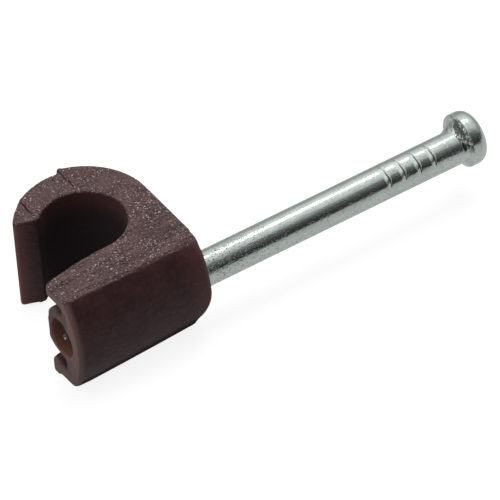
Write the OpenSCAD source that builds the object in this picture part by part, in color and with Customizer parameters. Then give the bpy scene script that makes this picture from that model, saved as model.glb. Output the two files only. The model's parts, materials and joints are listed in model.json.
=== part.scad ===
// Nail-in cable clip: a moulded hook that holds a round cable against a wall, its nail set in the block.
// Millimetres, +Z up. The wall is the plane x = 0, the nail lies along X and the cable runs along Z.

/* [Clip body] */
// Length of the clip along the cable, at the nail
clip_len = 6.3; // [5.6:0.1:8]
// Draft of the lower end, so that the clip gets shorter towards the hook
end_draft = 1; // [0:0.1:3]
// Diameter of the cable saddle
saddle_d = 5; // [4.6:0.1:6]
// Wall to the deepest point of the saddle
saddle_depth = 7.1; // [6.6:0.1:9]
// Nail axis to the near side of the saddle
nail_web = 1.95; // [1.8:0.05:2.6]
// Nail axis to the crown of the rounded front face
front_crown = 1.9; // [1.7:0.05:2.4]
// Radius of the rounded front face across the clip
front_r = 5.2; // [4.6:0.1:8]
// How far the crown lies below the nail axis
front_drop = 0.2; // [0:0.05:0.4]
// Rounding where the front face meets the back face
back_round = 0.45; // [0.1:0.05:0.6]
// How much the lower front edge is taken off at the wall
sole_trim = 0.04; // [0:0.02:0.3]
// How far that edge closes in from the wall to the back
sole_taper = 0.35; // [0.05:0.05:0.5]
// Rounding of the lower front corner at the back
sole_round = 1.15; // [0.4:0.05:1.4]
// Rounding along the lower back edge
heel_round = 0.8; // [0.4:0.05:1.2]
// Height of the step where the roundings at the lower back start
heel_step = 0.15; // [0.05:0.01:0.3]

/* [Hook] */
// Thickness of the hook behind the cable
hook_t = 1.94; // [1.5:0.02:2.6]
// Shift of the hook's outer arc away from the nail
hook_lift = 0.38; // [0:0.02:0.6]
// Wall to the first crease, where the hook gets thinner
crease_1 = 5.75; // [5:0.05:6.2]
// Height of the step at the first crease
crease_1_step = 0.37; // [0.05:0.01:0.5]
// Wall to the second crease
crease_2 = 2.65; // [2.4:0.05:3.2]
// Height of the nick at the second crease
crease_2_step = 0.05; // [0.02:0.01:0.15]
// Shift of the middle leaf's outer arc towards the back
mid_back = 0.3; // [0:0.05:0.6]
// Shift of the middle leaf's outer arc away from the nail
mid_lift = 0.5; // [0.2:0.05:0.8]
// Shift of the end leaf's outer arc towards the back
end_back = 0.5; // [0:0.05:0.8]
// Shift of the end leaf's outer arc away from the nail
end_lift = -0.1; // [-0.4:0.05:0.4]
// Width and depth of the score line along each crease
score = 0.1; // [0.04:0.01:0.2]
// Narrowest gap of the mouth
mouth_gap = 4.12; // [4.06:0.02:4.5]
// Slope of the hook's end face
tip_angle = 160; // [150:1:175]
// Rounding of the end's inner edge
tip_in_r = 0.46; // [0.1:0.02:0.5]
// Rounding of the end's outer edge
tip_out_r = 0.2; // [0.1:0.05:0.4]
// Radius of the lead-in flare on the block's side of the mouth
flare_r = 16; // [12:0.5:40]

/* [Wall end] */
// Thickness of the arm at the block's upper end
arm_t = 0.68; // [0.5:0.02:0.9]
// Thickness of the arm at its lower end
sole_arm_t = 0.82; // [0.5:0.02:1]
// Rounding of the arms' mouth-side corners
toe_r = 0.35; // [0.1:0.05:0.5]
// Nail axis to the front band's inner face
band_in = 0.48; // [0.2:0.02:0.7]
// Depth of the pockets beside the nail sleeve
pocket_depth = 2.6; // [1:0.1:4]
// Outer radius of the nail sleeve
sleeve_r = 1.6; // [1.5:0.02:1.8]
// Height of the sleeve's centre above the nail axis
sleeve_rise = 0.2; // [0:0.02:0.3]
// How far the sleeve's end stands back from the wall
sleeve_back = 0.04; // [0:0.02:0.6]
// Radius of the wide mouth of the nail hole
nail_mouth_r = 1.2; // [1.1:0.02:1.3]
// Length of the wide mouth
nail_mouth_len = 2.4; // [0.6:0.1:4]

/* [Nail] */
// Diameter of the shank
shank_d = 2.06; // [1.8:0.02:2.1]
// How far the nail's point stands back from the wall
nail_back = 0.25; // [0.1:0.05:1]
// Length of the nail
nail_len = 27.8; // [24:0.1:40]
// Length of the four-sided point
point_len = 2.5; // [1.5:0.1:4]
// Flat left on the point
point_flat = 0.3; // [0.1:0.05:0.5]
// Diameter of the head
head_d = 3.22; // [2.8:0.02:4]
// Thickness of the head's rim
rim_t = 1.26; // [1:0.02:1.4]
// Rounding of the rim's edge under the head
rim_round = 0.2; // [0.1:0.02:0.3]
// Rounding of the rim's edge on top
crown_round = 0.68; // [0.4:0.02:0.7]
// Height of the dome on the head
dome_h = 0.08; // [0.05:0.01:0.25]
// Length of the flared neck under the head
neck_len = 1.05; // [0.8:0.01:1.1]
// Radius of the neck's hollow flare
neck_r = 1.25; // [1.2:0.05:2]
// How far the head sits off the shank's axis
head_off = 0.24; // [0:0.02:0.3]
// Direction of that offset around the shank, from the hook's side upwards
head_off_angle = 8; // [0:1:90]
// Gripper marks on each side of the shank
grip_count = 4; // [1:1:6]
// Distance between the gripper marks
grip_pitch = 1; // [0.8:0.01:1.4]
// Last gripper mark to the end of the nail
grip_end = 3.55; // [2.8:0.05:5]
// Width of each gripper mark along the shank
grip_w = 0.3; // [0.1:0.02:0.6]
// Depth of the gripper marks
grip_depth = 0.1; // [0.04:0.01:0.16]
// Radius of the gripper die where it bites deepest
die_r = 1.5; // [1.2:0.05:3]
// Direction that the gripper marks face, from the front upwards
grip_angle = 57; // [0:1:90]

/* [Fits] */
// Radial clearance between the shank and its hole
nail_clear = 0.01; // [0.01:0.01:0.05]

/* [Hidden] */
$fn = 96;
over = 1;
saddle_r = saddle_d / 2;
saddle = [saddle_depth - saddle_r, nail_web + saddle_r];
back_x = saddle_depth + hook_t;
half_len = clip_len / 2;
shank_r = shank_d / 2;
far = back_x + saddle[1] + hook_t;

// A point at a distance and angle from another
function polar(p, r, a) = p + r * [cos(a), sin(a)];
// Where the line through p at angle a meets the circle of radius r about c; s picks the crossing
function on_circle(p, a, c, r, s) =
    let (d = [cos(a), sin(a)], b = (p - c) * d, k = (p - c) * (p - c) - r * r)
    p + d * (s * sqrt(b * b - k) - b);

// Outer arcs of the hook's three leaves: centre and radius, each set by its step from the one before
main_c = saddle + [0, hook_lift];
main_r = saddle_r + hook_t;
mid_c = saddle + [mid_back, mid_lift];
mid_r = norm(on_circle([crease_1, 0], 90, main_c, main_r, 1) - [0, crease_1_step] - mid_c);
end_c = saddle + [end_back, end_lift];
end_r = norm(on_circle([crease_2, 0], 90, mid_c, mid_r, 1) - [0, crease_2_step] - end_c);

// The hook's end face runs from tip_in on the saddle to tip_out on the outer arc
tip_rise = mouth_gap - saddle_r;
tip_in = saddle + [-sqrt(saddle_r * saddle_r - tip_rise * tip_rise), tip_rise];
tip_out = on_circle(tip_in, tip_angle, end_c, end_r, 1);

// Lead-in flare of the block and the corner where it meets the wall
flare_c = saddle - [0, saddle_r + flare_r];
toe = on_circle([0, 0], 90, flare_c, flare_r, 1);

// Part of a disc about c on the hook's side of the cable axis, between two distances from the wall
module leaf(c, r, x0, x1) {
    intersection() {
        translate(c) circle(r);
        translate([x0, saddle[1]]) square([x1 - x0, far]);
    }
}

// What a rounding of radius r about q takes off the corner c between its tangent points f and t;
// its circle stands a hair proud, so that it crosses the two faces instead of only touching them
module rounding(q, r, f, c, t) {
    past = 1.3;
    proud = 0.004;
    difference() {
        polygon([q, q + past * (f - q), q + past * (c - q), q + past * (t - q)]);
        translate(q) circle(r + proud);
    }
}

module toe_rounding() {
    q = on_circle([toe_r, 0], 90, flare_c, flare_r - toe_r, 1);
    rounding(q, toe_r, [0, q[1]], toe, flare_c + (q - flare_c) * flare_r / (flare_r - toe_r));
}

module tip_out_rounding() {
    q = on_circle(polar(tip_in, tip_out_r, tip_angle - 90), tip_angle, end_c, end_r - tip_out_r, 1);
    rounding(q, tip_out_r, polar(q, tip_out_r, tip_angle + 90), tip_out,
        end_c + (q - end_c) * end_r / (end_r - tip_out_r));
}

module tip_in_rounding() {
    q = on_circle(polar(tip_in, tip_in_r, tip_angle - 90), tip_angle, saddle, saddle_r + tip_in_r, 1);
    rounding(q, tip_in_r, polar(q, tip_in_r, tip_angle + 90), tip_in,
        saddle + (q - saddle) * saddle_r / (saddle_r + tip_in_r));
}

// Everything on the wall's side of the saddle between the block and the hook's end
module mouth() {
    difference() {
        polygon([saddle, tip_in, polar(tip_in, far, tip_angle), [-far, 0], [saddle[0], 0]]);
        translate(flare_c) circle(flare_r, $fn = 360);
    }
}

module clip_profile() {
    difference() {
        union() {
            translate([0, -front_crown]) square([back_x, front_crown + main_c[1]]);
            leaf(main_c, main_r, crease_1, back_x + over);
            leaf(mid_c, mid_r, crease_2, crease_1);
            leaf(end_c, end_r, -over, crease_2);
        }
        translate(saddle) circle(saddle_r);
        mouth();
        toe_rounding();
        tip_out_rounding();
        tip_in_rounding();
    }
}

// Bounds the block with the rounded front face, whose rim is rounded towards the back
module front_limit() {
    translate([0, front_r - front_crown, 0]) {
        translate([0, 0, -front_drop])
            rotate([0, 90, 0])
            rotate_extrude()
                union() {
                    square([front_r, back_x - back_round]);
                    square([front_r - back_round, back_x]);
                    translate([front_r - back_round, back_x - back_round]) circle(back_round);
                }
        translate([-over, 0, -clip_len]) cube([back_x + 2 * over, far, 2 * clip_len]);
    }
}

// Rounds the lower back edge, starting with a small step
module heel_cut() {
    at = [back_x - heel_round, -half_len + heel_step + heel_round];
    translate([0, far, 0])
        rotate([90, 0, 0])
            linear_extrude(2 * far)
                difference() {
                    translate([at[0], -half_len - over])
                        square([heel_round + over, heel_step + heel_round + over]);
                    translate(at) circle(heel_round);
                }
}

// Bounds the clip between its square upper end and its drafted lower end
module end_limit() {
    drop = far * tan(end_draft);
    rotate([90, 0, 90])
        translate([0, 0, -over])
            linear_extrude(far)
                polygon([[-far, -half_len - drop], [far, -half_len + drop],
                    [far, half_len], [-far, half_len]]);
}

// Bounds the block's lower front edge with a slim cone about an axis above it, its rim rounded at the back
module sole_limit() {
    edge = front_r - front_crown - sqrt(front_r * front_r - pow(half_len - front_drop, 2));
    r0 = norm([saddle[1] - edge, 2 * half_len]) - sole_trim;
    r1 = r0 - sole_taper;
    r2 = r1 - heel_step;
    translate([0, saddle[1], half_len]) {
        rotate([0, 90, 0])
            rotate_extrude()
                union() {
                    polygon([[0, -over], [r0, -over], [r0, 0],
                        [r1, back_x - sole_round], [0, back_x - sole_round]]);
                    square([r2 - sole_round, back_x]);
                    translate([r2 - sole_round, back_x - sole_round]) circle(sole_round);
                }
        translate([-over, 0, -2 * clip_len]) cube([back_x + 2 * over, far, 3 * clip_len]);
    }
}

// Score line across the end face along a crease, stopping short of the saddle
module score_line(x) {
    run = 0.3 * hook_t;
    from = on_circle([x, 0], 90, saddle, saddle_r + run, 1);
    translate([x, from[1], half_len])
        rotate([0, 45, 0])
            translate([-score / 2, 0, -score / 2]) cube([score, far, score]);
}

// Recess of the wall end between the arms, with the nail sleeve left standing in it
module wall_recess() {
    high = half_len - arm_t;
    low = half_len - sole_arm_t;
    difference() {
        translate([-over, -band_in, -low]) cube([pocket_depth + over, far, low + high]);
        translate([sleeve_back, 0, sleeve_rise])
            rotate([0, 90, 0]) cylinder(h = far, r = sleeve_r);
        translate([sleeve_back, -far, -high - over]) cube([far, far, 2 * (high + over)]);
        translate([-over, nail_web + over, -clip_len]) cube([far, far, 2 * clip_len]);
    }
}

// Hole for the nail, wider at the wall end and narrowing to the grip
module nail_hole() {
    grip_r = shank_r + nail_clear;
    rotate([0, 90, 0]) {
        translate([0, 0, -over]) cylinder(h = back_x + 2 * over, r = grip_r);
        translate([0, 0, -over]) cylinder(h = nail_mouth_len + over, r = nail_mouth_r);
        translate([0, 0, nail_mouth_len])
            cylinder(h = 2 * (nail_mouth_r - grip_r), r1 = nail_mouth_r, r2 = grip_r);
    }
}

module clip_body() {
    color([0.2, 0.13, 0.12])
        difference() {
            intersection() {
                linear_extrude(2 * clip_len, center = true) clip_profile();
                front_limit();
                end_limit();
                sole_limit();
            }
            heel_cut();
            score_line(crease_1);
            score_line(crease_2);
            wall_recess();
            nail_hole();
        }
}

// Four flats that cut the point, each leaving half the point's flat
module point_cuts() {
    slope = atan((shank_r - point_flat / 2) / point_len);
    for (a = [45:90:315])
        rotate([0, 0, a])
            translate([point_flat / 2, -over, 0])
                rotate([0, slope, 0])
                    translate([0, -over, -over]) cube([4 * over, 4 * over, point_len + 4 * over]);
}

// Head with a flared neck, a rim with a small rounding below and a large one on top, and a low dome
module head() {
    head_r = head_d / 2;
    edge_r = head_r - rim_round;
    dome_rim = head_r - crown_round;
    rim_at = nail_len - dome_h - rim_t;
    crown_at = rim_at + rim_t - crown_round;
    neck_in = shank_r - head_off;
    dome_r = (dome_rim * dome_rim + dome_h * dome_h) / (2 * dome_h);
    rotate_extrude()
        union() {
            translate([0, rim_at]) square([edge_r, crown_at - rim_at]);
            translate([0, rim_at + rim_round]) square([head_r, crown_at - rim_at - rim_round]);
            translate([edge_r, rim_at + rim_round]) circle(rim_round);
            translate([0, crown_at]) square([dome_rim, crown_round]);
            intersection() {
                translate([0, crown_at]) square([head_r, crown_round]);
                translate([dome_rim, crown_at]) circle(crown_round);
            }
            difference() {
                translate([0, rim_at - neck_len]) square([edge_r, neck_len + rim_round]);
                translate([neck_in + neck_r, rim_at - neck_len]) circle(neck_r);
            }
            intersection() {
                translate([0, rim_at + rim_t]) square([dome_rim, dome_h + over]);
                translate([0, nail_len - dome_r]) circle(dome_r, $fn = 360);
            }
        }
}

// Crescent dents pressed by the gripper dies on two opposite sides, steep towards the point
module grip_marks() {
    left_over = 0.1 * grip_depth;
    for (side = [0, 180])
        rotate([0, 0, side])
            for (i = [0:grip_count - 1])
                translate([0, 0, nail_len - grip_end - i * grip_pitch])
                    difference() {
                        translate([0, -shank_d, 0]) cube([shank_d, 2 * shank_d, grip_w]);
                        translate([shank_r - grip_depth - die_r, 0, 0])
                            cylinder(h = grip_w, r1 = die_r, r2 = die_r + grip_depth - left_over);
                    }
}

module nail() {
    color([0.72, 0.73, 0.71])
        translate([nail_back, 0, 0])
            rotate([0, 90, 0])
                difference() {
                    union() {
                        cylinder(h = nail_len - rim_t / 2 - dome_h, r = shank_r);
                        rotate([0, 0, 90 + head_off_angle])
                            translate([head_off, 0, 0]) head();
                    }
                    point_cuts();
                    rotate([0, 0, -90 - grip_angle]) grip_marks();
                }
}

clip_body();
nail();
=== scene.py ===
import json
import math

import bmesh
import bpy
from mathutils import Matrix, Vector


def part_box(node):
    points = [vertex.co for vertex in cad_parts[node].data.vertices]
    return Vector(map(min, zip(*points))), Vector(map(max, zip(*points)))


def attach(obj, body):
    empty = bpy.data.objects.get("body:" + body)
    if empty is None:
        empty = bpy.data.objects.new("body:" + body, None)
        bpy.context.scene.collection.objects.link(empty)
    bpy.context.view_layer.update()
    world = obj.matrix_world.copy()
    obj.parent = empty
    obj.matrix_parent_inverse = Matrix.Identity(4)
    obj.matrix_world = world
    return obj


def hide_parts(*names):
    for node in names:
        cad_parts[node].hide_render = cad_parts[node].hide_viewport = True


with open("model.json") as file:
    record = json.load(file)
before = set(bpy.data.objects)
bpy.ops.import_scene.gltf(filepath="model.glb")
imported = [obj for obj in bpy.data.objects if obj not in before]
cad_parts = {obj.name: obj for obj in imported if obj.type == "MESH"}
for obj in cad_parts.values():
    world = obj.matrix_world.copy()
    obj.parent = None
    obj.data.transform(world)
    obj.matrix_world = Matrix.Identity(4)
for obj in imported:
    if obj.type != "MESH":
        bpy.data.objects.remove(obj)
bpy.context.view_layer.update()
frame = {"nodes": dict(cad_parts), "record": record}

# Pieces are modelled in millimetres and brought to the frame's metres at the end
MM = 0.001

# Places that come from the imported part
MOUNTS = {m["name"]: m for m in frame["record"]["mounts"]}
CABLE_X, CABLE_Y = (c / MM for c in MOUNTS["cable_saddle"]["pos_m"][:2])
SADDLE_R = MOUNTS["cable_saddle"]["dims"]["r_mm"]
CLIP_LOW, CLIP_HIGH = (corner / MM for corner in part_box("clip_body"))
NAIL_LOW, NAIL_HIGH = (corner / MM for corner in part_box("nail"))

# Points closer than this are one, and a distance that is out of reach of everything
SAME = 1e-4
FAR = 99.0

# Clip skin: its mesh size and the boxes that are smoothed one after another,
# each with its passes, its low corner and its high corner
SKIN_STEP = 0.076
SMOOTHING = 0.5
SOFT_BOXES = (
    # the whole clip
    (4, (-FAR, -FAR, -FAR), (FAR, FAR, FAR)),
    # all but the wall end
    (6, (0.9, -FAR, -FAR), (FAR, FAR, FAR)),
    # the block's upper front edge
    (24, (0.4, -FAR, CLIP_HIGH.z - 0.8), (FAR, 0.3, FAR)),
    # the lower front corner of the wall end
    (48, (-FAR, -FAR, -FAR), (0.9, 0.6, CLIP_LOW.z + 0.8)),
    # the barrel's upper corner
    (24, (-FAR, 0.4, 0.6), (0.8, FAR, 1.8)),
)

# Wall end: the front band behind the block's rounded front, thinner beside the pockets
FRONT_R = 5.2
BAND_IN = 0.48
BAND_THIN = 0.36
BAND_SKIN = 0.15
BAND_FADE = (0.1 - BAND_IN, 1.1 - BAND_IN)
BAND_X = (2.7, 3.1)
BAND_Z = (1.0, 1.4, 2.4, 2.8)
BAND_OFF_NAIL = (1.25, 1.5)

# Wall end: the barrel round the nail's hole, thicker towards the cable
BARREL_WIDE = 0.16
BARREL_REACH = 1.8
BARREL_FACING = 0.1
BARREL_X = (1.0, 2.2)
BARREL_Y = (0.2, 1.0)

# Sole: the slim cone along the block's lower front edge, near which painted shade darkens the clip
SOLE_R = 8.28
SOLE_TAPER = 0.044

# Creases across the hook's upper end
CREASES = (5.75, 2.65)
CREASE_HALF = 0.065
CREASE_DEPTH = 0.09
CREASE_WANDER = 0.03
CREASE_WAVES = 6
CREASE_KEEP = 0.25
CREASE_CLEAR = (SADDLE_R + 0.3, SADDLE_R + 0.7)
CREASE_Z = (CLIP_HIGH.z - 0.6, CLIP_HIGH.z - 0.3)

# Nail: the sizes of the drawn wire, its point and its head
SHANK_R = 1.03
POINT_LEN = 2.5
POINT_FLAT = 0.3
HEAD_R = 1.61
RIM_ROUND = 0.2
CROWN_ROUND = 0.68
RIM_LEN = 1.26
DOME = 0.08
NECK_LEN = 1.05
NECK_R = 1.25
HEAD_SHIFT = Vector((0, 0.2377, 0.0334))
RIM_AT = NAIL_HIGH.x - DOME - RIM_LEN
NECK_AT = RIM_AT - NECK_LEN

# Nail mesh: steps along the wire and across its roundings
WIRE_STEP = 0.1
MARK_STEP = 0.02
WIRE_END = NECK_AT - 0.15
NECK_STEPS = 16
ROUND_STEPS = 12
DOME_STEPS = 8
TURN_STEPS = 128

# Gripper marks: where the dies bit, how deep, and the lip, painted shade line and burr of each mark
GRIP_STEPS = (21.5, 22.5, 23.5, 24.5)
GRIP_FROM, GRIP_TO = GRIP_STEPS[0] - 0.3, GRIP_STEPS[-1] + 0.4
GRIP_W = 0.2
GRIP_DEPTH = 0.14
GRIP_WALL = (-0.02, 0.02)
GRIP_MIN_FACING = 0.5
DIE_R = 2.0
LIP = 0.05
LIP_RUN = (-0.3, -0.04, -0.04, 0.0)
LIP_FACING = (0.72, 0.9)
LINE_RUN = (-0.05, -0.01, 0.02, 0.05)
LINE_FACING = (0.74, 0.92)
BURR = 0.075
BURR_RUN = (-0.3, -0.06, -0.03, 0.0)
BURR_SPREAD = 0.25


def across_nail(degrees):
    """Direction across the nail, turned from its front side up by an angle."""
    turn = math.radians(degrees)
    return Vector((0, -math.cos(turn), math.sin(turn)))


GRIP_TOWARD = across_nail(57)
BURR_TOWARD = across_nail(43)

# Camera: the photograph's viewing direction, scale and the point at the picture's centre
PICTURE_PX = 500
PX_PER_MM = 17.850
BACK = Vector((-0.36387, -0.65221, 0.66500)).normalized()
PICTURE_UP = Vector((0.40783, 0.53031, 0.74327))
CENTRE_MM = Vector((12.327, -0.467, 0.237))
CAMERA_MM = 1000.0
SENSOR_MM = 36.0
SEEN_FROM, SEEN_TO = 0.01, 10.0

# Sky: the direction of its bright part behind the clip and of the paler part beside it,
# with the strength and the narrowness of each, and the dim room around them
KEY = Vector((0.36, 0.35, 0.86)).normalized()
KEY_SKY = 0.85
KEY_NARROW = 2.0
SIDE = Vector((-0.78, 0.15, 0.60)).normalized()
SIDE_SKY = 0.8
SIDE_NARROW = 3.0
ROOM = 0.03
FRONT_SHARE = 0.45
FRONT_EDGE = (-0.52, -0.36)

# Lamps: their direction and distance from a point near the clip's middle, in metres
LAMP = Vector((0.36, 0.33, 0.87)).normalized()
LAMP_CENTRE = Vector((0.008, 0.002, 0.0))
LAMP_FAR = 0.4

# Floor: its half width in metres, and its paint and glow as rays from the camera,
# mirror-like rays and all other rays meet them
FLOOR_HALF = 3.0
FLOOR_SEEN = (0.22, 0.87)
FLOOR_MIRRORED = 0.10
FLOOR_GLOW_NEAR, FLOOR_GLOW_AWAY = 0.44, 0.33
FLOOR_AWAY = (0.0, 14.0)
FLOOR_LIT = (0.55, 0.0)


def step(low, high, x):
    """Smooth rise from 0 at low to 1 at high."""
    t = min(1.0, max(0.0, (x - low) / (high - low)))
    return t * t * (3 - 2 * t)


def plateau(run, x):
    """Smooth rise between the first two places of run and smooth fall between the last two."""
    return step(run[0], run[1], x) * (1 - step(run[2], run[3], x))


def merged_copy(node):
    """A CAD node's triangles joined into one closed mesh, in millimetres."""
    bm = bmesh.new()
    bm.from_mesh(frame["nodes"][node].data)
    bmesh.ops.scale(bm, vec=Vector((1, 1, 1)) / MM, verts=bm.verts)
    bmesh.ops.remove_doubles(bm, verts=bm.verts, dist=SAME)
    return bm


def even_skin(bm, size):
    """The closed shape in bm as an even mesh of small squares."""
    blank = bpy.data.objects.new("blank", bpy.data.meshes.new("blank"))
    bm.to_mesh(blank.data)
    bpy.context.scene.collection.objects.link(blank)
    remesh = blank.modifiers.new("even", "REMESH")
    remesh.mode = "VOXEL"
    remesh.voxel_size = size
    bpy.context.view_layer.update()
    graph = bpy.context.evaluated_depsgraph_get()
    skin = bpy.data.meshes.new_from_object(blank.evaluated_get(graph))
    bpy.data.objects.remove(blank)
    bm.clear()
    bm.from_mesh(skin)
    bpy.data.meshes.remove(skin)


def soften(bm, verts, passes):
    for _ in range(passes):
        bmesh.ops.smooth_vert(
            bm, verts=verts, factor=SMOOTHING, use_axis_x=True, use_axis_y=True, use_axis_z=True
        )


def in_box(co, low, high):
    return all(a < c < b for a, c, b in zip(low, co, high))


def add_piece(name, bm, node, material):
    """Hands the finished mesh over as a piece that stands for a CAD node."""
    bmesh.ops.scale(bm, vec=Vector((MM, MM, MM)), verts=bm.verts)
    bmesh.ops.recalc_face_normals(bm, faces=bm.faces)
    mesh = bpy.data.meshes.new(name)
    bm.to_mesh(mesh)
    bm.free()
    for polygon in mesh.polygons:
        polygon.use_smooth = True
    mesh.materials.append(material)
    piece = bpy.data.objects.new(name, mesh)
    bpy.context.scene.collection.objects.link(piece)
    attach(piece, "root")
    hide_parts(node)


def from_cable(co):
    return math.hypot(co.x - CABLE_X, co.y - CABLE_Y)


def near_crease(co):
    """Distance of a point of the hook's outside to the nearer crease, which wanders a little."""
    if co.y < CABLE_Y or from_cable(co) < CREASE_CLEAR[0]:
        return FAR
    wander = CREASE_WANDER * math.sin(CREASE_WAVES * co.y)
    return min(abs(co.x - crease - wander) for crease in CREASES)


def cut_creases(bm):
    """Fine V-shaped lines across the hook's upper end, from its outside almost to the saddle."""
    crease = bm.verts.layers.float.new("crease")

    def on_line(v, reach):
        return v.co.z > CREASE_Z[0] and near_crease(v.co) < reach

    near = {e for e in bm.edges if all(on_line(v, 3 * CREASE_HALF) for v in e.verts)}
    bmesh.ops.subdivide_edges(bm, edges=list(near), cuts=2, use_grid_fill=True)
    for v in bm.verts:
        if on_line(v, CREASE_HALF):
            fade = step(*CREASE_CLEAR, from_cable(v.co)) * step(*CREASE_Z, v.co.z)
            v[crease] = fade * (1 - near_crease(v.co) / CREASE_HALF)
            v.co.z -= CREASE_DEPTH * v[crease]


def thin_band(v):
    """The front band of the wall end gets thinner beside the two pockets."""
    x, y, z = v.co
    front = CLIP_LOW.y + z * z / (2 * FRONT_R)
    beside = plateau(BAND_Z, abs(z)) * step(*BAND_OFF_NAIL, math.hypot(y, z))
    inner = step(front + BAND_SKIN, -BAND_IN, y) * (1 - step(*BAND_FADE, y))
    v.co.y -= BAND_THIN * beside * inner * (1 - step(*BAND_X, x))


def widen_barrel(v):
    """The barrel round the nail's hole gets thicker on the cable's side."""
    x, y, z = v.co
    if math.hypot(y, z) < BARREL_REACH and v.normal.y > BARREL_FACING:
        v.co.y += BARREL_WIDE * step(*BARREL_Y, y) * (1 - step(*BARREL_X, x))


def clip_skin():
    """The clip's CAD solid as a fine skin with soft edges; "rim" tells how far an edge went in."""
    bm = merged_copy("clip_body")
    even_skin(bm, SKIN_STEP)
    bm.normal_update()
    for v in bm.verts:
        thin_band(v)
        widen_barrel(v)
    bm.normal_update()
    sharp = [v.co.copy() for v in bm.verts]
    plain = [v for v in bm.verts if near_crease(v.co) > CREASE_KEEP]
    for passes, low, high in SOFT_BOXES:
        soften(bm, [v for v in plain if in_box(v.co, low, high)], passes)
    rim = bm.verts.layers.float.new("rim")
    for v, was in zip(bm.verts, sharp):
        v[rim] = (was - v.co).dot(v.normal)
    cut_creases(bm)
    return bm


def nail_outline():
    """Points of the nail's outline from its point to its head, as distance along it and radius."""
    neck_in = SHANK_R - HEAD_SHIFT.length
    points = [(NAIL_LOW.x, 0.0), (NAIL_LOW.x, SHANK_R)]
    x = NAIL_LOW.x
    while x < WIRE_END:
        x += MARK_STEP if GRIP_FROM < x < GRIP_TO else WIRE_STEP
        points.append((x, SHANK_R))
    for i in range(NECK_STEPS + 1):
        along = NECK_LEN * i / NECK_STEPS
        points.append((NECK_AT + along, neck_in + NECK_R - math.sqrt(NECK_R**2 - along**2)))
    for low, high, r, centre in (
        (-90, 0, RIM_ROUND, RIM_AT + RIM_ROUND),
        (0, 90, CROWN_ROUND, RIM_AT + RIM_LEN - CROWN_ROUND),
    ):
        for i in range(ROUND_STEPS + 1):
            a = math.radians(low + (high - low) * i / ROUND_STEPS)
            points.append((centre + r * math.sin(a), HEAD_R - r + r * math.cos(a)))
    for i in range(1, DOME_STEPS + 1):
        t = 1 - i / DOME_STEPS
        points.append((NAIL_HIGH.x - DOME * t * t, (HEAD_R - CROWN_ROUND) * t))
    return points


def pointed(v):
    """Four flats that close in on the nail's point."""
    radius = math.hypot(v.co.y, v.co.z)
    turned = math.atan2(v.co.z, v.co.y) + math.pi / 4
    half = POINT_FLAT / 2 + (v.co.x - NAIL_LOW.x) * (SHANK_R - POINT_FLAT / 2) / POINT_LEN
    limit = half / max(abs(math.cos(turned)), abs(math.sin(turned)))
    if radius > limit:
        v.co.yz *= limit / radius


def gripped(v, line):
    """Crescent marks of the gripper dies: a raised lip, a steep wall and a slope that runs out."""
    for at in GRIP_STEPS:
        along = v.co.x - at
        if not LIP_RUN[0] < along < GRIP_W:
            continue
        die = DIE_R + GRIP_DEPTH * max(0.0, along) / GRIP_W
        back = DIE_R + GRIP_DEPTH - SHANK_R
        for side in (1, -1):
            facing = v.co.yz.normalized().dot(side * GRIP_TOWARD.yz)
            if facing < GRIP_MIN_FACING:
                continue
            limit = math.sqrt(die**2 - back**2 * (1 - facing**2)) - back * facing
            bite = step(*GRIP_WALL, along) * max(0.0, SHANK_R - limit)
            # where painted shade lines the foot of the mark's wall
            v[line] = plateau(LINE_RUN, along) * step(*LINE_FACING, facing)
            to_burr = v.co.yz.normalized().dot(side * BURR_TOWARD.yz)
            aside = math.acos(min(1.0, to_burr)) / BURR_SPREAD
            raised = LIP * plateau(LIP_RUN, along) * step(*LIP_FACING, facing)
            raised += BURR * math.exp(-aside * aside) * plateau(BURR_RUN, along)
            v.co.yz *= (SHANK_R - bite + raised) / SHANK_R


def headed(v):
    """The head's offset from the wire; the neck never gets thinner than the wire."""
    v.co += HEAD_SHIFT
    radius = math.hypot(v.co.y, v.co.z)
    if v.co.x < RIM_AT and radius < SHANK_R:
        v.co.yz *= SHANK_R / radius


def turned_nail():
    """The nail turned from its outline; "line" marks where painted shade lines the foot of each gripper
    mark's wall.
    """
    bm = bmesh.new()
    outline = [bm.verts.new((x, 0, r)) for x, r in nail_outline()]
    edges = [bm.edges.new(pair) for pair in zip(outline, outline[1:])]
    bmesh.ops.spin(
        bm,
        geom=outline + edges,
        cent=(0, 0, 0),
        axis=(1, 0, 0),
        angle=2 * math.pi,
        steps=TURN_STEPS,
        use_merge=True,
    )
    bmesh.ops.remove_doubles(bm, verts=bm.verts, dist=SAME)
    line = bm.verts.layers.float.new("line")
    for v in bm.verts:
        if v.co.x < NAIL_LOW.x + 1.5 * POINT_LEN:
            pointed(v)
        elif v.co.x < GRIP_TO:
            gripped(v, line)
        elif v.co.x > NECK_AT - 10 * SAME:
            headed(v)
    return bm


class Value:
    """A number in a material. Sums, products and powers of it add Math nodes."""

    def __init__(self, nodes, socket):
        self.nodes = nodes
        self.socket = socket

    def math(self, operation, *inputs):
        return self.nodes.add("ShaderNodeMath", {"operation": operation}, dict(enumerate(inputs)))

    def __add__(self, other):
        return self.math("ADD", self, other)

    __radd__ = __add__

    def __sub__(self, other):
        return self.math("SUBTRACT", self, other)

    def __rsub__(self, other):
        return self.math("SUBTRACT", other, self)

    def __mul__(self, other):
        return self.math("MULTIPLY", self, other)

    __rmul__ = __mul__

    def __pow__(self, other):
        return self.math("POWER", self, other)

    def __abs__(self):
        return self.math("ABSOLUTE", self)

    def at_least(self, low):
        return self.math("MAXIMUM", self, low)

    def rise(self, low, high):
        """0 below low, 1 above high and smooth between."""
        settings = {"interpolation_type": "SMOOTHSTEP"}
        sockets = {"Value": self, "From Min": low, "From Max": high}
        return self.nodes.add("ShaderNodeMapRange", settings, sockets)

    def fall(self, low, high):
        """1 below low, 0 above high and smooth between."""
        return 1 - self.rise(low, high)


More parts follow.
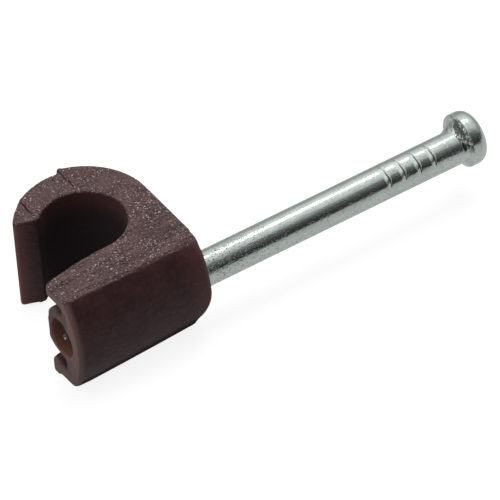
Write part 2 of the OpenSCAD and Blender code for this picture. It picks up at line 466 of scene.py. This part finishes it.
class Nodes:
    """The nodes of one material or of the world."""

    def __init__(self, owner):
        owner.use_nodes = True
        self.tree = owner.node_tree
        self.tree.nodes.clear()

    def add(self, kind, settings=None, sockets=None, out=0):
        node = self.tree.nodes.new(kind)
        for name, value in (settings or {}).items():
            setattr(node, name, value)
        for name, value in (sockets or {}).items():
            if isinstance(value, Value):
                self.tree.links.new(value.socket, node.inputs[name])
            else:
                node.inputs[name].default_value = value
        return Value(self, node.outputs[out])

    def attribute(self, name):
        return self.add("ShaderNodeAttribute", {"attribute_name": name}, out="Fac")

    def ray(self, kind):
        """1 for rays of one kind, 0 for all others."""
        return self.add("ShaderNodeLightPath", out=kind)

    def vector_math(self, operation, sockets, out=0):
        return self.add("ShaderNodeVectorMath", {"operation": operation}, sockets, out)

    def place_mm(self):
        """Object coordinates in millimetres."""
        coordinates = self.add("ShaderNodeTexCoord", out="Object")
        return self.vector_math("SCALE", {"Vector": coordinates, "Scale": 1 / MM})

    def parts(self, vector):
        split = self.add("ShaderNodeSeparateXYZ", None, {"Vector": vector})
        return [Value(self, output) for output in split.socket.node.outputs]

    def stretch(self, vector, scale):
        return self.vector_math("MULTIPLY", {0: vector, 1: scale})

    def far_from(self, vector, point, along):
        """Distance from a point, counted along some of the axes only."""
        from_point = self.vector_math("SUBTRACT", {0: vector, 1: point})
        return self.vector_math("LENGTH", {0: self.stretch(from_point, along)}, "Value")

    def noise(self, vector, scale, detail=2.0, roughness=0.5):
        sockets = {"Vector": vector, "Scale": scale, "Detail": detail, "Roughness": roughness}
        return self.add("ShaderNodeTexNoise", None, sockets)

    def mix(self, factor, a, b):
        """Colour a where the factor is 0 and colour b where it is 1."""
        return self.add("ShaderNodeMix", {"data_type": "RGBA"}, {0: factor, 6: a, 7: b}, out=2)

    def layers(self, base, *coats):
        """A base colour under coats, each with where it lies and its colour."""
        for cover, paint in coats:
            base = self.mix(cover, base, paint)
        return base

    def bump(self, height, distance, strength):
        sockets = {"Height": height, "Distance": distance, "Strength": strength}
        return self.add("ShaderNodeBump", None, sockets)

    def finish(self, shader, kind="ShaderNodeOutputMaterial"):
        output = self.tree.nodes.new(kind)
        self.tree.links.new(shader.socket, output.inputs["Surface"])


def colour(r, g, b):
    return (r, g, b, 1.0)


def grey(level):
    return colour(level, level, level)


# Axes that a distance is counted along: in the cable's cross-section and in the nail's
CABLE_SECTION = (1, 1, 0)
NAIL_SECTION = (0, 1, 1)

# Clip: the soft edges of its painted places, in millimetres
ENDS_Z = (CLIP_HIGH.z - 0.20, CLIP_HIGH.z - 0.02)
SADDLE_EDGE = (SADDLE_R + 0.04, SADDLE_R + 0.2)
HOOK_END_X, HOOK_END_Y = (1.2, 2.4), (5.0, 5.6)
WALL_X, WALL_Y = (0.05, 0.50), (3.5, 4.0)
POCKET_X_IN, POCKET_X_OUT = (0.1, 0.4), (2.8, 3.2)
POCKET_Y_IN, POCKET_Y_OUT = (-0.92, -0.76), (1.7, 2.0)
POCKET_Z = (-1.2, -1.0)
REAR_X, REAR_Y = (7.0, 8.9), (-0.5, 0.5)
SOLE_EDGE, SOLE_Y = (0.04, 0.28), (0.5, 1.5)
HOLE_EDGE, HOLE_X = (1.22, 1.28), (2.2, 2.6)
TUBE_Y, TUBE_Z = (-0.88, -0.80), (2.2, 2.4)
MOUTH_EDGE = (1.28, 1.36)
SADDLE_SHADE_Z = (1.2, 2.9)
WALL_SHADE_Z = (-2.5, 2.5)
FLOW_Y = (2.0, 3.0)

# Clip: its colours
BODY_DARK, BODY_PALE = colour(0.039, 0.013, 0.015), colour(0.055, 0.019, 0.021)
LEATHER = colour(0.090, 0.038, 0.040)
REAR_RED = colour(0.125, 0.043, 0.042)
# painted light: the hook's end face is painted paler brown, as if lit from the wall's side
HOOK_END_LIT = colour(0.185, 0.075, 0.064)
# painted shade along the block's lower front edge, where it turns under towards the floor
SOLE_PAINTED_SHADE = colour(0.010, 0.004, 0.005)
# painted shade inside the cable's saddle, deepest low down and lighter towards its upper rim
SADDLE_DEEP_SHADE, SADDLE_RIM_SHADE = colour(0.028, 0.016, 0.019), colour(0.078, 0.027, 0.029)
# painted glow: rounded edges are tinted redder, as light shines through the thin plastic there
RIM_PAINTED_GLOW = colour(0.115, 0.046, 0.043)
# painted light: the wall end is painted far paler than the body, as if lit from the wall's side, and
# paler towards the top
WALL_SHADED, WALL_LIT = colour(0.135, 0.076, 0.066), colour(0.185, 0.100, 0.086)
# painted shade: the barrel's end round the nail's hole is darker, as if set back in shade behind the
# band
TUBE_PAINTED_SHADE = colour(0.098, 0.050, 0.042)
# painted highlight: a thin pale line round the edge of the nail's hole on the barrel
MOUTH_PAINTED_HIGHLIGHT = colour(0.150, 0.085, 0.075)
# painted shade deep in the lower pocket of the wall end
POCKET_PAINTED_SHADE = colour(0.020, 0.009, 0.008)
FLOW_DARK, FLOW_PALE = colour(0.064, 0.033, 0.034), colour(0.130, 0.072, 0.071)
GRAIN_DARK, GRAIN_PALE = colour(0.048, 0.025, 0.026), colour(0.165, 0.098, 0.096)
GLINT_PALE = colour(0.95, 0.81, 0.78)
# painted glow: the inside of the nail's hole is amber, as light shines through the plastic and off the
# nail
HOLE_PAINTED_GLOW = colour(0.240, 0.110, 0.080)
# painted shade in the creases across the hook's upper end
CREASE_PAINTED_SHADE = colour(0.022, 0.010, 0.010)

# Clip: gloss and the height of its relief, in metres
PLASTIC_IOR = 1.5
PLASTIC_SPECULAR = 0.3
PLASTIC_RELIEF = 0.0002


def clip_plastic():
    """Dark brown moulding: grained ends that glint, satin sides and a smooth saddle; painted shade
    darkens the saddle, the sole, the barrel's end, the pocket and the creases, painted light brightens
    the hook's end, the wall end and the hole's edge, and a painted glow tints the rims and the nail's
    hole.
    """
    material = bpy.data.materials.new("clip_plastic")
    n = Nodes(material)
    place = n.place_mm()
    x, y, z = n.parts(place)
    rim = n.attribute("rim")
    crease = n.attribute("crease")
    to_cable = n.far_from(place, (CABLE_X, CABLE_Y, 0), CABLE_SECTION)
    to_nail = n.far_from(place, (0, 0, 0), NAIL_SECTION)
    sole_axis = n.far_from(place, (0, CABLE_Y, CLIP_HIGH.z), NAIL_SECTION)
    # Where things are: the grained end, the saddle, the hook's end, the wall end and the nail's hole
    ends = z.rise(*ENDS_Z)
    sides = 1 - ends
    saddle = to_cable.fall(*SADDLE_EDGE) * sides
    hook_end = x.fall(*HOOK_END_X) * y.rise(*HOOK_END_Y) * sides
    wall = x.fall(*WALL_X) * y.fall(*WALL_Y) * sides
    pocket = x.rise(*POCKET_X_IN) * x.fall(*POCKET_X_OUT) * z.fall(*POCKET_Z)
    pocket = pocket * y.rise(*POCKET_Y_IN) * y.fall(*POCKET_Y_OUT)
    rear = x.rise(*REAR_X) * y.fall(*REAR_Y) * sides
    above_sole = SOLE_R - SOLE_TAPER * x - sole_axis
    sole = above_sole.fall(*SOLE_EDGE) * y.fall(*SOLE_Y) * (1 - wall)
    hole = to_nail.fall(*HOLE_EDGE) * x.fall(*HOLE_X)
    tube = wall * y.rise(*TUBE_Y) * abs(z).fall(*TUBE_Z)
    mouth = tube * to_nail.fall(*MOUTH_EDGE)
    # Moulded textures
    grain = n.noise(place, 7.0, 1.5, 0.6)
    patches = n.noise(place, 1.0, 2.0).rise(0.38, 0.62)
    leather = n.noise(place, 3.0, 4.0, 0.6)
    mottle = n.noise(place, 0.8, 4.0, 0.6)
    flow = (n.noise(n.stretch(place, (0.35, 4.5, 1.0)), 1.0, 2.0) - 0.5) * y.fall(*FLOW_Y)
    glint = ends * n.noise(place, 9.0, 1.0).rise(0.61, 0.75) * (0.15 + 0.85 * patches)
    body = n.layers(
        n.mix(mottle.rise(0.35, 0.65), BODY_DARK, BODY_PALE),
        (leather.rise(0.45, 0.75) * 0.4, LEATHER),
        (rear * 0.6, REAR_RED),
        # painted light on the hook's end face
        (hook_end * 0.8, HOOK_END_LIT),
        # painted shade along the lower front edge
        (sole * 0.85, SOLE_PAINTED_SHADE),
        # painted shade inside the saddle
        (saddle, n.mix(z.rise(*SADDLE_SHADE_Z), SADDLE_DEEP_SHADE, SADDLE_RIM_SHADE)),
        # painted glow on the rounded edges
        (rim.rise(0.01, 0.05), RIM_PAINTED_GLOW),
        # painted light on the wall end, paler upwards
        (wall, n.mix(z.rise(*WALL_SHADE_Z), WALL_SHADED, WALL_LIT)),
        # painted shade on the barrel's end
        (tube * 0.9, TUBE_PAINTED_SHADE),
        # painted highlight round the hole's edge
        (mouth * 0.8, MOUTH_PAINTED_HIGHLIGHT),
        # painted shade in the lower pocket
        (pocket * 0.9, POCKET_PAINTED_SHADE),
    )
    top = n.layers(
        n.mix(flow.rise(-0.10, 0.10), FLOW_DARK, FLOW_PALE),
        (grain.rise(0.50, 0.72) * 0.8, GRAIN_PALE),
        (grain.fall(0.32, 0.48) * 0.8, GRAIN_DARK),
    )
    base = n.layers(
        body,
        (ends, top),
        (glint, GLINT_PALE),
        # painted glow inside the nail's hole
        (hole, HOLE_PAINTED_GLOW),
        # painted shade in the creases
        (crease.rise(0.2, 0.7) * 0.65, CREASE_PAINTED_SHADE),
    )
    relief = 0.1 + ends * (0.4 + 0.7 * patches)
    height = (grain - 0.5) * relief + leather * 0.3 * (1 - saddle) + flow * ends * 0.8
    shader = n.add(
        "ShaderNodeBsdfPrincipled",
        None,
        {
            "Base Color": base,
            "Roughness": 0.5 - 0.2 * ends + 0.4 * saddle + 0.45 * sole,
            "Metallic": 0.8 * glint,
            "Normal": n.bump(height, PLASTIC_RELIEF, 1.0),
            "IOR": PLASTIC_IOR,
            "Specular IOR Level": PLASTIC_SPECULAR,
        },
    )
    n.finish(shader)
    return material


# Nail: the soft edges of its worn and dark places and of its painted shade, in millimetres
WORN_X = (9.0, 16.0)
PEPPER_Z = (-0.4, 0.4)
UNDER_HEAD_X_IN, UNDER_HEAD_X_OUT = (26.3, 26.5), (26.85, 26.95)
UNDER_HEAD_Y, UNDER_HEAD_Z = (0.2, 0.8), (0.1, 0.6)
TIP_X = (1.0, 2.5)
SPOT_X = (NAIL_LOW.x + 0.01, NAIL_LOW.x + 0.05)
SPOT_Z = (-0.06, 0.0)

# Nail: its colours and the height of its relief, in metres
ZINC_DULL, ZINC_BRIGHT = colour(0.68, 0.75, 0.715), colour(0.75, 0.825, 0.785)
SPECK_DARK = colour(0.14, 0.15, 0.13)
PEPPER_DARK = colour(0.22, 0.23, 0.21)
# dark pits under the head, with painted shade for the dark surroundings it mirrors there
SCALE_AND_SHADE_DARK = colour(0.06, 0.06, 0.055)
# painted shade at the foot of each gripper mark's steep wall
LINE_PAINTED_SHADE = colour(0.03, 0.035, 0.03)
# painted shade on the nail's point, which sits in the clip's hole
TIP_PAINTED_SHADE = colour(0.060, 0.055, 0.050)
# painted highlight: a small bright spot on the flat end of the nail's point
SPOT_PAINTED_HIGHLIGHT = colour(0.90, 0.92, 0.90)
ZINC_RELIEF = 0.00006
ZINC_BUMP = 0.45


def nail_zinc():
    """Bright zinc plating with faint drawing marks, dull specks, dark pitted scale under the head with
    painted shade for the dark it mirrors there, painted shade in the gripper marks' lines and on the
    point, and a painted highlight on the point's end.
    """
    material = bpy.data.materials.new("nail_zinc")
    n = Nodes(material)
    place = n.place_mm()
    x, y, z = n.parts(place)
    line = n.attribute("line")
    fine = n.noise(place, 6.0, 2.0, 0.6)
    wide = n.noise(place, 1.3, 3.0)
    drawn = n.noise(n.stretch(place, (0.3, 5.0, 5.0)), 1.5, 2.0)
    worn = 1 - x.rise(*WORN_X) * 0.75
    specks = n.noise(place, 7.0, 2.0, 0.7).rise(0.57, 0.65) * worn
    pepper = n.noise(place, 9.0, 1.0).rise(0.60, 0.70) * z.fall(*PEPPER_Z)
    under_head = x.rise(*UNDER_HEAD_X_IN) * x.fall(*UNDER_HEAD_X_OUT) * z.rise(*UNDER_HEAD_Z) * y.fall(*UNDER_HEAD_Y)
    scale = under_head * n.noise(place, 4.0, 3.0, 0.7).rise(0.40, 0.50)
    base = n.layers(
        n.mix(wide.rise(0.3, 0.7), ZINC_DULL, ZINC_BRIGHT),
        (specks * 0.8, SPECK_DARK),
        (pepper * 0.6, PEPPER_DARK),
        # dark pits and painted shade under the head
        (scale * 0.85, SCALE_AND_SHADE_DARK),
        # painted shade in the gripper marks' lines
        (line * 0.9, LINE_PAINTED_SHADE),
        # painted shade on the point
        (x.fall(*TIP_X) * 0.9, TIP_PAINTED_SHADE),
        # painted highlight on the point's end
        (x.fall(*SPOT_X) * z.fall(*SPOT_Z), SPOT_PAINTED_HIGHLIGHT),
    )
    height = fine * worn * 0.8 + drawn * 0.25 - specks * 0.6 - scale * 1.5
    shader = n.add(
        "ShaderNodeBsdfPrincipled",
        None,
        {
            "Base Color": base,
            "Roughness": 0.15 + 0.07 * fine + 0.15 * specks,
            "Metallic": 1.0,
            "Normal": n.bump(height, ZINC_RELIEF, ZINC_BUMP),
        },
    )
    n.finish(shader)
    return material


def add_floor():
    """Plain pale floor at the clip's lowest point; it is white to the camera and keeps a soft shadow."""
    bm = bmesh.new()
    bmesh.ops.create_grid(bm, x_segments=1, y_segments=1, size=FLOOR_HALF)
    bmesh.ops.translate(bm, vec=(0, 0, CLIP_LOW.z * MM), verts=bm.verts)
    mesh = bpy.data.meshes.new("floor")
    bm.to_mesh(mesh)
    bm.free()
    material = bpy.data.materials.new("pale_floor")
    n = Nodes(material)

    def surface(paint, glow):
        lit = n.add("ShaderNodeBsdfDiffuse", None, {"Color": paint})
        glowing = n.add("ShaderNodeEmission", None, {"Color": glow, "Strength": 1.0})
        return n.add("ShaderNodeAddShader", None, {0: lit, 1: glowing})

    def choose(factor, a, b):
        return n.add("ShaderNodeMixShader", None, {0: factor, 1: a, 2: b})

    away = abs(n.parts(n.place_mm())[1]).rise(*FLOOR_AWAY)
    glow = n.mix(away, grey(FLOOR_GLOW_NEAR), grey(FLOOR_GLOW_AWAY))
    lit = surface(*map(grey, FLOOR_LIT))
    mirrored = surface(grey(FLOOR_MIRRORED), glow)
    seen = surface(*map(grey, FLOOR_SEEN))
    unseen = choose(n.ray("Is Glossy Ray"), lit, mirrored)
    n.finish(choose(n.ray("Is Camera Ray"), unseen, seen))
    mesh.materials.append(material)
    floor = bpy.data.objects.new("floor", mesh)
    bpy.context.scene.collection.objects.link(floor)


def add_world():
    """Soft room light, brightest around the key, paler on the wall's side and dim in front."""
    world = bpy.data.worlds.new("studio")
    bpy.context.scene.world = world
    n = Nodes(world)
    toward = n.add("ShaderNodeTexCoord", out="Generated")

    def lobe(direction, narrow):
        facing = n.vector_math("DOT_PRODUCT", {0: toward, 1: direction}, "Value")
        return facing.at_least(0.0) ** narrow

    seen = n.ray("Is Camera Ray")
    behind = n.parts(toward)[1].rise(*FRONT_EDGE)
    key_sky = KEY_SKY * lobe(KEY, KEY_NARROW) * (FRONT_SHARE + (1 - FRONT_SHARE) * behind)
    room = ROOM + key_sky + SIDE_SKY * lobe(SIDE, SIDE_NARROW)
    sky = n.mix((1 - seen) * room + seen, grey(0.0), grey(1.0))
    background = n.add("ShaderNodeBackground", None, {"Color": sky, "Strength": 1.0})
    n.finish(background, "ShaderNodeOutputWorld")


def add_lamp(name, size, radiance, glossy):
    """Round lamp in the key's direction."""
    lamp = bpy.data.lights.new(name, "AREA")
    lamp.shape = "DISK"
    lamp.size = size
    lamp.energy = radiance * math.pi * math.pi * (size / 2) ** 2
    light = bpy.data.objects.new(name, lamp)
    light.location = LAMP_CENTRE + LAMP_FAR * LAMP
    light.rotation_euler = LAMP.to_track_quat("Z", "Y").to_euler()
    light.visible_glossy = glossy
    bpy.context.scene.collection.objects.link(light)


def add_camera():
    """Long-lens camera of the photograph."""
    data = bpy.data.cameras.new("camera")
    data.sensor_width = SENSOR_MM
    data.lens = SENSOR_MM * CAMERA_MM * PX_PER_MM / PICTURE_PX
    data.clip_start = SEEN_FROM
    data.clip_end = SEEN_TO
    camera = bpy.data.objects.new("camera", data)
    right = PICTURE_UP.cross(BACK).normalized()
    turn = Matrix((right, BACK.cross(right), BACK)).transposed()
    camera.matrix_world = Matrix.Translation((CENTRE_MM + CAMERA_MM * BACK) * MM) @ turn.to_4x4()
    bpy.context.scene.collection.objects.link(camera)
    bpy.context.scene.camera = camera


add_camera()
add_world()
add_lamp("key", size=0.06, radiance=5.5, glossy=True)
add_lamp("soft_key", size=0.30, radiance=4.4, glossy=False)
add_floor()
add_piece("clip", clip_skin(), "clip_body", clip_plastic())
add_piece("set_nail", turned_nail(), "nail", nail_zinc())
bpy.context.scene.view_settings.view_transform = "Standard"
